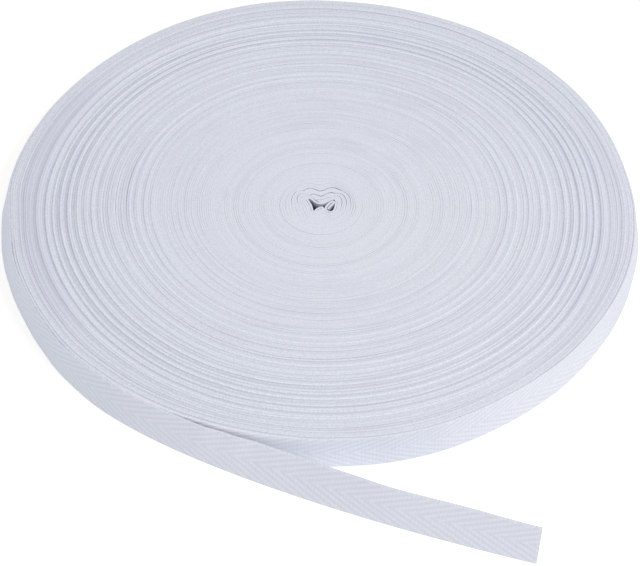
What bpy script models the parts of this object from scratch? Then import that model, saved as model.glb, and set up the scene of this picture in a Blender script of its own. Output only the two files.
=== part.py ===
"""A roll of herringbone twill tape, lying flat, with its loose end led out across the surface.

Metres, +Z up. The roll is a flat coil of one tape, wound with no core. Seen from above, the tape
runs anticlockwise towards its free end: angles are measured from +X towards +Y, and the near side
of the roll is at -Y. The roll is built about its own axis. At the end it is moved so that the
origin is on the surface that it lies on, under the middle of the whole part.
"""

import math
from typing import NamedTuple

import bmesh
import bpy
from mathutils import Vector

# Driving dimensions
TAPE_WIDTH = 0.0127
ROLL_RADIUS = 0.107
SHEET_THICKNESS = 0.001
MM = 0.001

# The roll's grid
SIDES = 64
VOID_RINGS = 3

# The turns outside this share of the roll's radius follow its uneven rim.
RIM_SHARE = 0.9

# The innermost turns are crushed together round a crooked hole, and are round again from here out.
VOID_CENTRE = Vector((-0.3 * MM, 0.2 * MM))
ROUND_CENTRE = Vector((-0.4 * MM, -1.2 * MM))
ROUND_RADIUS = 13.0 * MM

# The outermost turn lies against the roll from its start here to where it springs away.
HUG_START = math.radians(190.0)
STEP_ANGLE = math.radians(189.6)
STEP_RAMP = math.radians(0.5)
LEAVE_ANGLE = math.radians(230.37)
LEAVE_FOOT_RADIUS = 109.71 * MM

# Past that angle its curl eases from the roll's own to a faint one, which falls off towards the end.
FREE_LENGTH = 150.8 * MM
RELAX_LENGTH = 27.6 * MM
FAINT_CURL = 1.598
CURL_FALL = 3.10
STATION_STEP = 4.0 * MM
PATH_STEP = 0.25 * MM


class VoidPoint(NamedTuple):
    """A point on the edge of the hole: its angle about the hole's centre and its distance."""

    degrees: float
    radius_mm: float


VOID_EDGE = (
    VoidPoint(13, 2.4),
    VoidPoint(34, 5.5),
    VoidPoint(50, 3.6),
    VoidPoint(80, 2.0),
    VoidPoint(100, 1.6),
    VoidPoint(127, 2.6),
    VoidPoint(160, 4.6),
    VoidPoint(185, 3.0),
    VoidPoint(211, 2.9),
    VoidPoint(237, 4.2),
    VoidPoint(262, 2.0),
    VoidPoint(302, 2.9),
    VoidPoint(335, 2.2),
)


class RimPoint(NamedTuple):
    """The roll's rim at an angle: its radius at the top, and how far its foot stands out from that."""

    degrees: float
    radius_mm: float
    foot_mm: float


# From under the start of the loose end round the whole roll to the step where the loose end lies.
RIM = (
    RimPoint(190, 105.1, 2.85),
    RimPoint(197, 105.6, 1.75),
    RimPoint(205, 105.5, 1.45),
    RimPoint(212, 105.75, 1.4),
    RimPoint(220, 106.2, 1.45),
    RimPoint(230, 105.55, 1.8),
    RimPoint(239, 105.35, 1.8),
    RimPoint(256, 105.8, 1.2),
    RimPoint(270, 106.6, 0.5),
    RimPoint(285, 107.2, 0.3),
    RimPoint(307, 106.0, 0.9),
    RimPoint(324, 106.4, 0.8),
    RimPoint(345, 107.1, 0.8),
    RimPoint(358, 106.9, 2.1),
    RimPoint(370, 106.5, 2.6),
    RimPoint(396, 107.3, 1.4),
    RimPoint(442, 106.5, 1.0),
    RimPoint(464, 107.3, 1.0),
    RimPoint(506, 106.3, 1.2),
    RimPoint(518, 106.6, 1.9),
    RimPoint(530, 107.3, 2.55),
    RimPoint(536, 107.5, 3.0),
    RimPoint(546, 106.3, 3.35),
    RimPoint(550, 106.5, 2.9),
)


class HugPoint(NamedTuple):
    """Where the foot of the loose end stands beside the roll: its angle and its radius."""

    degrees: float
    radius_mm: float


HUG_FOOT = (
    HugPoint(190.0, 109.42),
    HugPoint(197.0, 108.84),
    HugPoint(205.0, 108.43),
    HugPoint(212.0, 108.62),
    HugPoint(220.0, 109.22),
    HugPoint(230.37, 109.71),
)


class Ring(NamedTuple):
    """How far the turns at this share of the roll's radius were pushed up as the roll was wound."""

    share: float
    rise_mm: float


RINGS = (
    Ring(0.30, 0.00),
    Ring(0.47, 0.00),
    Ring(0.485, 0.15),
    Ring(0.505, 0.00),
    Ring(0.56, 0.00),
    Ring(0.572, 0.25),
    Ring(0.583, 0.00),
    Ring(0.598, 0.25),
    Ring(0.612, 0.05),
    Ring(0.642, 0.20),
    Ring(0.655, 0.00),
    Ring(0.681, 0.35),
    Ring(0.700, 0.15),
    Ring(0.718, 0.00),
    Ring(0.731, 0.40),
    Ring(0.755, 0.05),
    Ring(0.779, 0.35),
    Ring(0.791, 0.05),
    Ring(0.805, 0.35),
    Ring(0.818, 0.00),
    Ring(0.830, 0.40),
    Ring(0.843, 0.00),
    Ring(0.868, 0.35),
    Ring(0.882, 0.05),
    Ring(0.903, 0.45),
    Ring(0.925, 0.10),
    Ring(0.955, 0.00),
    Ring(0.972, 0.40),
    Ring(1.000, 0.25),
)

# The underside is flat but for the outer turns, which stand a little clear of the surface.
UNDERSIDE_RINGS = (
    Ring(0.30, 0.00),
    Ring(0.66, 0.00),
    Ring(0.681, 0.30),
    Ring(0.718, 0.00),
    Ring(0.843, 0.00),
    Ring(0.890, 0.35),
    Ring(0.930, 0.00),
    Ring(1.000, 0.00),
)


class Lean(NamedTuple):
    """How far the loose end leans back towards the roll, by its length past the place it springs from."""

    arc_mm: float
    degrees: float


LEANS = (
    Lean(-80, 13.6),
    Lean(-64, 8.0),
    Lean(-50, 6.8),
    Lean(-24, 6.3),
    Lean(0, 11.5),
    Lean(20, 14.0),
    Lean(36, 16.5),
    Lean(46, 23.0),
    Lean(57, 30.0),
    Lean(70, 32.0),
    Lean(86, 28.0),
    Lean(102, 23.5),
    Lean(125, 26.5),
    Lean(151, 21.5),
)

COTTON_COLOUR = (0.80, 0.82, 0.87, 1.0)
COTTON_ROUGHNESS = 0.92
SMOOTH_UNDER = math.radians(35)


def smooth(share):
    """A share from 0 to 1, eased at both ends."""
    share = min(max(share, 0.0), 1.0)
    return share * share * (3.0 - 2.0 * share)


def eased(table, position):
    """The second column of a table at a position in its first, eased from row to row."""
    if position <= table[0][0]:
        return table[0][1]
    for (start, first), (end, second) in zip(table, table[1:]):
        if position <= end:
            return first + (second - first) * smooth((position - start) / (end - start))
    return table[-1][1]


def eased_round(table, degrees):
    """The same for a table of angles that closes on itself."""
    last = table[-1]
    opening = (last[0] - 360.0, last[1])
    closing = (table[0][0] + 360.0, table[0][1])
    return eased([opening, *table, closing], degrees % 360.0)


def cotton():
    """The tape's plain cotton."""
    material = bpy.data.materials.new("cotton_tape")
    material.use_nodes = True
    shader = material.node_tree.nodes["Principled BSDF"]
    shader.inputs["Base Color"].default_value = COTTON_COLOUR
    shader.inputs["Roughness"].default_value = COTTON_ROUGHNESS
    shader.inputs["Metallic"].default_value = 0.0
    return material


def add_object(name, mesh_builder, material):
    """An object from a bmesh, shaded smooth but for its creases."""
    mesh = bpy.data.meshes.new(name)
    mesh_builder.to_mesh(mesh)
    mesh_builder.free()
    mesh.materials.append(material)
    mesh.shade_smooth()
    mesh.set_sharp_from_angle(angle=SMOOTH_UNDER)
    made = bpy.data.objects.new(name, mesh)
    bpy.context.scene.collection.objects.link(made)
    return made


def on_circle(angle, radius):
    """The plan position at an angle and a distance from the roll's axis."""
    return Vector((math.cos(angle), math.sin(angle))) * radius


def rim_at(angle):
    """(radius, foot) of the roll's rim, in metres. It steps where the loose end starts."""
    start = math.degrees(STEP_ANGLE)
    degrees = (math.degrees(angle) - start) % 360.0 + start
    radius = eased([(row.degrees, row.radius_mm) for row in RIM], degrees)
    foot = eased([(row.degrees, row.foot_mm) for row in RIM], degrees)
    return radius * MM, foot * MM


def void_edge(angle):
    """The plan position on the edge of the crooked hole."""
    radius = eased_round(VOID_EDGE, math.degrees(angle)) * MM
    return VOID_CENTRE + on_circle(angle, radius)


def void_rings(angle):
    """The plan positions from the hole's edge out to the first round turn, which is the last."""
    inner = void_edge(angle)
    outer = ROUND_CENTRE + on_circle(angle, ROUND_RADIUS)
    return [inner.lerp(outer, step / VOID_RINGS) for step in range(VOID_RINGS + 1)]


def face_rings(angle, rings, foot_share):
    """(plan position, rise) across one face of the roll, from the hole out to the rim.

    The turns lie about the roll's axis at the rim, and about the innermost round turn within.
    """
    radius, foot = rim_at(angle)
    excess = radius + foot * foot_share - ROLL_RADIUS
    across = [(place, 0.0) for place in void_rings(angle)]
    for ring in rings:
        centre = ROUND_CENTRE * (1.0 - ring.share)
        follow = smooth((ring.share - RIM_SHARE) / (1.0 - RIM_SHARE))
        reach = ROLL_RADIUS * ring.share + excess * follow
        across.append((centre + on_circle(angle, reach), ring.rise_mm * MM))
    return across


def column_angles():
    """The angles of the roll's columns. The last two close the turn with the step down to the first."""
    spacing = 2.0 * math.pi / SIDES
    angles = [STEP_ANGLE + spacing * number for number in range(SIDES)]
    return angles + [STEP_ANGLE - STEP_RAMP + 2.0 * math.pi]


def build_roll(material):
    """The wound roll: both its faces, its rim, and the wall of the hole at its middle."""
    builder = bmesh.new()
    columns = []
    for angle in column_angles():
        top = face_rings(angle, RINGS, 0.0)
        under = face_rings(angle, UNDERSIDE_RINGS, 1.0)
        points = [(place.x, place.y, TAPE_WIDTH + rise) for place, rise in top]
        points += [(place.x, place.y, rise) for place, rise in reversed(under)]
        columns.append([builder.verts.new(point) for point in points])
    for column, beside in zip(columns, columns[1:] + columns[:1]):
        for row in range(len(column)):
            above = (row + 1) % len(column)
            builder.faces.new((column[row], column[above], beside[above], beside[row]))
    bmesh.ops.recalc_face_normals(builder, faces=builder.faces)
    return add_object("tape_roll", builder, material)


class Station(NamedTuple):
    """A place along the loose end: its outer foot, its heading, and its length past the springing."""

    foot: Vector
    heading: float
    arc: float


def hugging_stations():
    """Stations along the roll, with the foot drawn out smoothly towards the springing."""
    length = (LEAVE_ANGLE - HUG_START) * LEAVE_FOOT_RADIUS
    count = round(length / STATION_STEP)
    stations = []
    for number in range(count):
        angle = HUG_START + (LEAVE_ANGLE - HUG_START) * number / count
        radius = eased(HUG_FOOT, math.degrees(angle)) * MM
        arc = (angle - LEAVE_ANGLE) * LEAVE_FOOT_RADIUS
        stations.append(Station(on_circle(angle, radius), angle + math.pi / 2.0, arc))
    return stations


def free_stations():
    """Stations past the springing, found by following the tape's curl in short steps."""
    count = round(FREE_LENGTH / PATH_STEP)
    every = round(STATION_STEP / PATH_STEP)
    place = on_circle(LEAVE_ANGLE, LEAVE_FOOT_RADIUS)
    heading = LEAVE_ANGLE + math.pi / 2.0
    stations = []
    for number in range(count + 1):
        arc = number * PATH_STEP
        if number % every == 0 or number == count:
            stations.append(Station(place.copy(), heading, arc))
        middle = arc + PATH_STEP / 2.0
        ease = math.exp(-middle / RELAX_LENGTH)
        curl = (1.0 / LEAVE_FOOT_RADIUS - FAINT_CURL) * ease + FAINT_CURL - CURL_FALL * middle
        half_turn = curl * PATH_STEP / 2.0
        place += on_circle(heading + half_turn, PATH_STEP)
        heading += 2.0 * half_turn
    return stations


def section(station):
    """The tape's four corners at a station: outer foot, outer top, inner top, inner foot.

    The tape leans back towards the roll, and its two edges are level, so its foot lies flat.
    """
    lean = math.radians(eased(LEANS, station.arc / MM))
    inward = Vector((-math.sin(station.heading), math.cos(station.heading)))
    top = station.foot + inward * TAPE_WIDTH * math.sin(lean)
    through = inward * SHEET_THICKNESS / math.cos(lean)
    height = TAPE_WIDTH * math.cos(lean)
    return (
        (*station.foot, 0.0),
        (*top, height),
        (*(top + through), height),
        (*(station.foot + through), 0.0),
    )


def build_loose_end(material):
    """The loose end: the last of the tape, standing on its edge, from the roll to its square cut."""
    builder = bmesh.new()
    loops = []
    for station in hugging_stations() + free_stations():
        loops.append([builder.verts.new(corner) for corner in section(station)])
    for loop, onward in zip(loops, loops[1:]):
        for corner in range(4):
            beside = (corner + 1) % 4
            builder.faces.new((loop[corner], loop[beside], onward[beside], onward[corner]))
    builder.faces.new(loops[0])
    builder.faces.new(loops[-1])
    bmesh.ops.recalc_face_normals(builder, faces=builder.faces)
    return add_object("loose_end", builder, material)


def stand_at_origin(pieces):
    """Moves all the pieces so that the origin is under the middle of their box, on the surface."""
    corners = [vertex.co for piece in pieces for vertex in piece.data.vertices]
    middle_x = (min(c.x for c in corners) + max(c.x for c in corners)) / 2.0
    middle_y = (min(c.y for c in corners) + max(c.y for c in corners)) / 2.0
    for piece in pieces:
        piece.location = (-middle_x, -middle_y, 0.0)


def main():
    """Clears the scene, then builds the roll and its loose end."""
    for old in list(bpy.data.objects):
        bpy.data.objects.remove(old)
    material = cotton()
    stand_at_origin([build_roll(material), build_loose_end(material)])


main()
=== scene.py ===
"""Dresses the roll of herringbone twill tape: the wound turns, the last turn and loose end, and the studio.

Metres, +Z up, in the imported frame. The tape is followed as one length, from its hooked end at the middle
of the roll out to the square cut of the loose end. Angles are measured from +X towards +Y, and the tape
runs anticlockwise towards its loose end. A place along the wound tape is its turn: 0 where the loose end
begins to lie on the roll, -1 one turn further in, and so on to the middle.
"""

import logging
import math
from dataclasses import dataclass
from enum import Enum

import bpy
import numpy as np
from bpy.types import ID, Material, Node, NodeSocket, NodeTree, Object
from mathutils import Matrix, Vector


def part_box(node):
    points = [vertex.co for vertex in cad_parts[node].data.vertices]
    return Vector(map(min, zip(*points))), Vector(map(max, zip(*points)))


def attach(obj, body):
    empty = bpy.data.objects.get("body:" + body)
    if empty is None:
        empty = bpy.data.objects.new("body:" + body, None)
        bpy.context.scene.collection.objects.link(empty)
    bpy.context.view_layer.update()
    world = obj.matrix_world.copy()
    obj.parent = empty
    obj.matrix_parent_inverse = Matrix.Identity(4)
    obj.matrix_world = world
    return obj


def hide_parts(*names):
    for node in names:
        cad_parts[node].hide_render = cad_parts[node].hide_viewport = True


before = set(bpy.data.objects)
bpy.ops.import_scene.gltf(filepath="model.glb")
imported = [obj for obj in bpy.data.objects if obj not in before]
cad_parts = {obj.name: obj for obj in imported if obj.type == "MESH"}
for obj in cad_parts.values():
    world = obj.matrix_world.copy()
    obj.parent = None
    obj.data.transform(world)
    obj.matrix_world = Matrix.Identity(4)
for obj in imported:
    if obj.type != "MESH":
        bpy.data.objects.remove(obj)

LOG = logging.getLogger("tape_roll")
MM = 0.001
TAU = 2.0 * math.pi
FULL_CIRCLE = 360.0
TAPE_WIDTH = 12.7 * MM
SHARP_DEGREES = 62.0
BODY = "root"

Array = np.ndarray
Pair = tuple[float, float]
Rows = tuple[Pair, ...]
Colour = tuple[float, float, float, float]


def smooth(share: Array) -> Array:
    """A share from 0 to 1, eased at both ends."""
    share = np.clip(share, 0.0, 1.0)
    return share * share * (3.0 - 2.0 * share)


def between(values: Array, row: Array, share: Array) -> Array:
    """The value at this share of the way from each row to the next."""
    return values[row] + (values[row + 1] - values[row]) * share


def on_circle(angle: Array) -> Array:
    """The plan directions at these angles, as rows of x and y."""
    return np.stack([np.cos(angle), np.sin(angle)], axis=-1)


def length_along(line: Array) -> Array:
    """How far along this line each of its points lies."""
    return np.append(0.0, np.cumsum(np.linalg.norm(np.diff(line, axis=0), axis=1)))


def read_line(line: Array, arc: Array, places: Array) -> Array:
    """The plan positions at these places along a line, whose own points lie at these lengths along it."""
    return np.stack([np.interp(places, arc, line[:, axis]) for axis in (0, 1)], axis=1)


def stand(name: str, data: ID) -> Object:
    """Adds an object to the scene, unturned and at the origin.

    Args:
        name: Its name.
        data: Its mesh, lens or lamp.

    Returns:
        The object.
    """
    added = bpy.data.objects.new(name, data)
    bpy.context.scene.collection.objects.link(added)
    return added


@dataclass(frozen=True)
class EasedTable:
    """Values against positions, eased from row to row. A table with a period closes on itself."""

    rows: Rows
    period: float = 0.0

    def at(self, position: Array) -> Array:
        """Reads the table.

        Args:
            position: Where to read it, in the units of its first column.

        Returns:
            The values there, in the units of its second column.
        """
        places, values = (np.array(column) for column in zip(*self.rows))
        if self.period:
            position = (position - places[0]) % self.period + places[0]
            places = np.append(places, places[0] + self.period)
            values = np.append(values, values[0])
        row = np.clip(np.searchsorted(places, position, side="right") - 1, 0, len(places) - 2)
        share = smooth((position - places[row]) / (places[row + 1] - places[row]))
        return between(values, row, share)


def eased(*rows: Pair) -> EasedTable:
    """A table of these rows."""
    return EasedTable(rows)


def by_angle(*rows: Pair) -> EasedTable:
    """A table by angle in degrees, which closes on itself."""
    return EasedTable(rows, FULL_CIRCLE)


@dataclass(frozen=True)
class Wander:
    """A smooth, seeded wander along the whole tape: its spacing in metres, and how far it goes each way."""

    spacing: float
    depth: float
    seed: int
    longest: float = 50.0

    def along(self, arc: Array) -> Array:
        """How far it has wandered.

        Args:
            arc: Lengths from the tape's inner end, in metres.

        Returns:
            How far it has gone at each, in the unit of its depth.
        """
        count = int(self.longest / self.spacing) + 2
        values = np.random.default_rng(self.seed).uniform(-self.depth, self.depth, count)
        step = np.floor(arc / self.spacing).astype(int)
        return between(values, step, smooth(arc / self.spacing - step))


@dataclass(frozen=True)
class Sway:
    """How far one band of turns stands out of round, in mm by angle.

    The band sets in at a share of the way out to the rim, and fades in over a further share.
    """

    start: float
    fade: float
    out: EasedTable

    def band(self, share: Array) -> Array:
        """How far the band has set in at these shares of the way out, from 0 to 1."""
        return smooth((share - self.start) / self.fade)


@dataclass(frozen=True)
class Weave:
    """The herringbone: twill lines that slope one way below the tape's middle and the other way above it."""

    width: float = TAPE_WIDTH
    repeat_along: float = 4.6 * MM
    repeat_across: float = 1.9 * MM
    depth: float = 0.14 * MM
    selvedge: float = 0.9 * MM
    selvedge_rise: float = 0.04 * MM
    # The twill's painted shade and its bumps on the face fade out from this far inside the tape's edge to
    # this far past it.
    fade_inside: float = 0.7 * MM
    fade_past: float = 0.05 * MM
    # The threads in one twill line, and the spacing of the threads that cross them.
    threads: float = 3.0
    thread_spacing: float = 1.2 * MM

    def relief(self, along: Array, across: Array) -> Array:
        """How far the cloth stands out of its plain face.

        Args:
            along: Length from the cut end, in metres.
            across: Distance from the foot edge, in metres.

        Returns:
            The rise, in metres.
        """
        from_middle = np.abs(across - self.width / 2.0)
        phase = along / self.repeat_along - from_middle / self.repeat_across
        line = 0.5 + 0.5 * np.cos(TAU * phase)
        inside = smooth((self.width / 2.0 - from_middle) / self.selvedge)
        return self.depth * (line - 0.5) * inside + self.selvedge_rise * (1.0 - inside)


def smooth_line(points: Array, step: float, fineness: int = 24) -> Array:
    """An even, smooth line through these plan positions.

    Args:
        points: The positions, in metres. The last only gives the heading at the one before it.
        step: The spacing wanted, in metres.
        fineness: The short pieces that each span is drawn in before the line is spaced evenly.

    Returns:
        Plan positions a step apart, from the first to just short of the last but one.
    """
    points = np.concatenate([[2.0 * points[0] - points[1]], points])
    fine = []
    for before, start, end, after in zip(points, points[1:], points[2:], points[3:]):
        share = np.linspace(0.0, 1.0, fineness, endpoint=False)[:, None]
        bend = 2.0 * before - 5.0 * start + 4.0 * end - after
        twist = -before + 3.0 * start - 3.0 * end + after
        fine.append(start + 0.5 * share * (end - before + share * (bend + share * twist)))
    fine = np.concatenate(fine)
    arc = length_along(fine)
    return read_line(fine, arc, np.arange(0.0, arc[-1], step))


@dataclass(frozen=True)
class Crush:
    """The innermost tape, crushed flat round the crooked hole. Its line is in mm from the roll's axis."""

    thickness: float = 0.72 * MM
    step: float = 0.22 * MM
    centre: Pair = (0.2 * MM, -0.8 * MM)
    # The last of its points pass beneath the hook, and the first wound turn takes over from them.
    passing: int = 3
    # Its reach is taken in this many directions, and eased by these weights with its neighbours' reaches.
    directions: int = 72
    weights: tuple[tuple[int, float], ...] = ((-1, 0.25), (0, 0.5), (1, 0.25))
    # The first wound turn closes in by this much, in mm by angle, to lie against the crushed tape.
    wedge: EasedTable = by_angle((-50, 0.0), (30, 0.18), (100, 0.36), (170, 0.52), (228, 0.6), (265, 0.2))
    line: Rows = (
        (2.2, -2.75), (2.5, -2.1), (3.15, -1.15), (3.85, -0.3), (4.15, 0.45), (3.75, 0.95),
        (2.95, 0.35), (2.15, -0.65), (1.55, -1.75), (1.4, -2.9), (1.85, -3.85), (2.9, -4.3),
        (3.85, -3.95), (4.45, -2.9), (4.7, -1.5), (4.9, 0.0), (4.95, 1.2), (4.45, 2.1), (3.5, 2.0),
        (2.5, 1.4), (1.6, 0.75), (0.6, 0.1), (-0.4, -0.13), (-1.2, 0.0), (-1.95, 0.4), (-2.6, 1.05),
        (-3.2, 1.75), (-4.0, 2.4), (-4.75, 2.35), (-4.95, 1.6), (-4.45, 0.5), (-3.85, -0.7),
        (-3.45, -2.0), (-3.2, -3.4), (-2.9, -4.2), (-2.35, -4.15), (-1.9, -3.45), (-1.35, -2.75),
        (-0.55, -2.3), (0.1, -2.1), (0.6, -2.7), (0.9, -3.6), (1.4, -4.5), (2.3, -5.05),
    )

    def centreline(self, joint: Array, onward: Array) -> Array:
        """The line up to the joint with the first wound turn, given a position a little further along it."""
        return smooth_line(np.concatenate([np.array(self.line) * MM, [joint, onward]]), self.step)

    def edge(self) -> EasedTable:
        """Where the first wound turn lies round the crushed tape.

        Returns:
            How far it stands from the centre, in mm by angle, eased over the hollows.
        """
        line = smooth_line(np.array(self.line[: -self.passing]) * MM, self.step) - np.array(self.centre)
        degrees = np.degrees(np.arctan2(line[:, 1], line[:, 0])) % FULL_CIRCLE
        reach = np.linalg.norm(line, axis=1) / MM
        spacing = FULL_CIRCLE / self.directions
        middles = (np.arange(self.directions) + 0.5) * spacing
        half = FULL_CIRCLE / 2.0
        apart = np.abs((degrees[None] - middles[:, None] + half) % FULL_CIRCLE - half)
        furthest = np.where(apart < spacing, reach[None], 0.0).max(axis=1)
        smoothed = sum(np.roll(furthest, shift) * weight for shift, weight in self.weights)
        outer = smoothed + self.thickness / MM / 2.0 - self.wedge.at(middles)
        return by_angle(*zip(middles.tolist(), outer.tolist()))


@dataclass(frozen=True)
class Winding:
    """Where every wound turn lies."""

    pitch: float = 0.8 * MM
    # The gap just inside the last turn, and the most that the tape is thick where its turns lie tight.
    gap: float = 0.005 * MM
    thickest: float = 0.88 * MM
    roll_radius: float = 107.0 * MM
    # Where the loose end begins to lie on the roll, and roughly how much tape comes before it.
    start_radius: float = 107.4 * MM
    start_degrees: float = 190.0
    length_before: float = 46.0
    # Past this share of the way out, the turns follow the rim more and more closely.
    rim_share: float = 0.9
    # The turns are centred down to one radius, and at a smaller one they are round this other centre.
    centred_radius: float = 60.0 * MM
    round_radius: float = 15.0 * MM
    round_centre: Pair = (-0.4 * MM, -1.2 * MM)
    # From this far outside the smaller radius inwards, the tape grows loose, up to twice as thick.
    loosening: float = 4.0 * MM
    # Within the smaller radius this many turns close in on the crushed tape, at this pitch where tight.
    core_turns: float = 12.1861
    core_pitch: float = 0.76 * MM
    first_turn: float = -126.6861
    crush: Crush = Crush()
    hole: EasedTable = Crush().edge()

    # The rim's outer face at the top, in mm by angle. The last turn begins a pitch further in.
    rim: EasedTable = by_angle(
        (190, 106.50), (197, 106.99), (205, 107.00), (212, 107.20), (219, 107.64), (222, 107.70),
        (225, 107.40), (230, 107.09), (240, 106.89), (250, 106.77), (256, 106.60), (262, 106.80),
        (270, 107.22), (285, 107.79), (307, 106.54), (324, 106.90), (345, 107.56), (358, 107.33),
        (370, 106.90), (396, 107.64), (442, 106.74), (464, 107.49), (506, 106.40), (518, 106.71),
        (524, 107.05), (530, 107.39), (535, 107.60), (546, 106.36),
    )
    # How far the foot of the rim stands out from its top, in mm by angle.
    foot: EasedTable = by_angle(
        (190, 2.92), (197, 1.75), (205, 1.42), (212, 1.40), (222, 1.60), (235, 1.80),
        (250, 1.35), (262, 0.80), (270, 0.50), (285, 0.30), (307, 0.90), (324, 0.80),
        (345, 0.80), (358, 2.10), (370, 2.60), (396, 1.40), (442, 1.00), (464, 1.00),
        (506, 1.20), (518, 1.90), (530, 2.55), (538, 3.10), (546, 3.35),
    )
    # From the middle outwards. Each sway gives way to the next, and the last one to the rim.
    sways: tuple[Sway, ...] = (
        Sway(
            start=0.32,
            fade=0.20,
            out=by_angle(
                (0, 0.20), (45, 0.50), (78, -0.45), (92, -0.50), (115, -0.05), (150, -0.45),
                (180, -1.00), (210, -1.25), (248, -0.65), (292, -0.70), (315, -0.35), (338, 0.05),
            ),
        ),
        Sway(
            start=0.60,
            fade=0.12,
            out=by_angle(
                (0, 0.37), (20, 0.63), (47, 0.73), (78, -0.17), (92, -0.05), (115, 0.45),
                (150, 0.20), (172, 0.20), (188, 0.00), (210, -0.24), (225, -0.05), (248, 0.57),
                (262, 0.75), (292, 0.42), (315, 0.45), (338, 0.60),
            ),
        ),
        Sway(
            start=0.76,
            fade=0.13,
            out=by_angle(
                (0, 0.00), (20, 0.35), (45, -0.25), (60, -0.52), (75, -0.95), (90, -0.73),
                (110, -0.30), (122, -0.22), (150, -0.34), (165, -0.12), (180, 0.23), (208, 0.35),
                (225, 0.67), (240, 1.25), (255, 1.74), (270, 1.69), (290, 1.50), (320, 1.30),
                (342, 0.50),
            ),
        ),
    )
    strays: tuple[Wander, ...] = (
        Wander(120 * MM, 0.07 * MM, 14),
        Wander(33 * MM, 0.035 * MM, 15),
    )
    # Where the loosened turns take up their slack, by angle: the share of the way in, give or take a spread.
    gather: EasedTable = by_angle((30, 0.5), (58, 0.65), (94, 0.35), (120, 0.58), (150, 0.5), (270, 0.5))
    gather_spread: float = 0.35
    # The gaps that show between the loosened turns: width in mm against the turn.
    gaps: EasedTable = eased(
        (-126.7, 0.02), (-124.65, 0.02), (-124.35, 0.25), (-124.05, 0.03), (-122.6, 0.03),
        (-122.3, 0.48), (-121.98, 0.03), (-120.6, 0.03), (-120.3, 0.42), (-119.98, 0.03),
        (-119.4, 0.09), (-118.9, 0.02), (-118.3, 0.08), (-117.7, 0.015), (-116.5, 0.015),
        (-115.9, 0.07), (-115.3, 0.015),
    )
    # Ridges that the winding left, as rises in mm against the turn's radius in mm.
    ridges: EasedTable = eased(
        (21.4, 0.02), (32.7, 0.00), (35.1, 0.06), (36.2, 0.00), (38.0, 0.05), (38.9, 0.00),
        (42.5, 0.08), (44.1, 0.00), (44.8, 0.11), (45.5, 0.02), (47.2, 0.14), (48.1, 0.00),
        (50.0, 0.15), (51.1, 0.01), (51.9, 0.16), (52.8, 0.02), (54.8, 0.12), (56.4, 0.03),
        (59.1, 0.14), (60.4, 0.02), (61.4, 0.26), (62.4, 0.00), (64.5, 0.36), (65.6, 0.00),
        (66.7, 0.46), (67.6, 0.12), (69.2, 0.24), (70.1, 0.05), (71.2, 0.41), (72.0, 0.19),
        (72.9, 0.38), (73.8, 0.10), (75.6, 0.41), (76.8, 0.02), (78.3, 0.42), (79.3, 0.08),
        (80.7, 0.30), (81.7, 0.04), (83.5, 0.60), (84.8, 0.04), (86.1, 0.58), (87.6, 0.00),
        (89.1, 0.70), (90.3, 0.00), (91.5, 0.55), (92.4, 0.06), (93.5, 0.70), (94.5, 0.08),
        (95.8, 0.64), (96.9, 0.69), (98.2, 0.13), (99.6, 0.38), (100.3, 0.16), (101.1, 0.40),
        (102.5, 0.07), (103.5, 0.50), (104.4, 0.20), (105.4, 0.36), (107.0, 0.23),
    )
    # How much of those rises stands up, and how the tape rises and falls besides.
    ridge_rise: float = 1.85
    wanders: tuple[Wander, ...] = (
        Wander(180 * MM, 0.035 * MM, 11),
        Wander(47 * MM, 0.03 * MM, 12),
        Wander(11 * MM, 0.04 * MM, 13),
        Wander(5.5 * MM, 0.045 * MM, 16),
    )
    # How far each way the ridges settle into each other, how far the level is taken, and in how many places.
    settle_reach: float = 0.40 * MM
    level_reach: float = 1.7 * MM
    level_places: int = 9
    # The painted shade of an even turn, and how much more painted shade a turn gains for each mm that it lies
    # below the level.
    shade: float = 0.085
    shade_gain: float = 0.36
    # How dark the painted shade in the seam outside a turn is: its mean, and how it comes and goes along the
    # tape.
    seam_shade: float = 0.12
    seam_wanders: tuple[Wander, ...] = (
        Wander(300 * MM, 0.25, 17),
        Wander(41 * MM, 0.10, 18),
    )

    def angle(self, turn: Array) -> Array:
        """The angle, in radians, of these places along the tape."""
        return math.radians(self.start_degrees) + TAU * turn

    def radius(self, turn: Array) -> Array:
        """The even spiral's radius at these places, in metres."""
        return self.start_radius + self.pitch * turn

    def wander(self, wanders: tuple[Wander, ...], turn: Array) -> Array:
        """What these wanders come to together at these places, by the rough length of the tape up to them."""
        length = self.length_before + TAU * turn * (self.start_radius + self.pitch * turn / 2.0)
        return sum(one.along(length) for one in wanders)

    def follow(self, turn: Array) -> Array:
        """How closely the turns here follow the uneven rim, from 0 to 1."""
        share = self.radius(turn) / self.roll_radius
        return smooth((share - self.rim_share) / (1.0 - self.rim_share))

    def foot_out(self, turn: Array) -> Array:
        """How far the foot of the tape stands out from its top, in metres."""
        return self.foot.at(np.degrees(self.angle(turn))) * MM * self.follow(turn)

    def upright(self, turn: Array) -> Array:
        """How much of its width the leaning tape keeps as height here, from 0 to 1."""
        return np.sqrt(1.0 - (self.foot_out(turn) / TAPE_WIDTH) ** 2)

    def stray(self, turn: Array) -> Array:
        """How far the turns stand outside their even circles.

        Args:
            turn: Places along the tape, as turns.

        Returns:
            The distance at each, in metres.
        """
        degrees = np.degrees(self.angle(turn))
        share = self.radius(turn) / self.roll_radius
        bands = [sway.band(share) for sway in self.sways] + [self.follow(turn)]
        swayed = 0.0
        for sway, band, taken_over in zip(self.sways, bands, bands[1:]):
            swayed = swayed + sway.out.at(degrees) * band * (1.0 - taken_over)
        return swayed * MM + self.wander(self.strays, turn)

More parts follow.
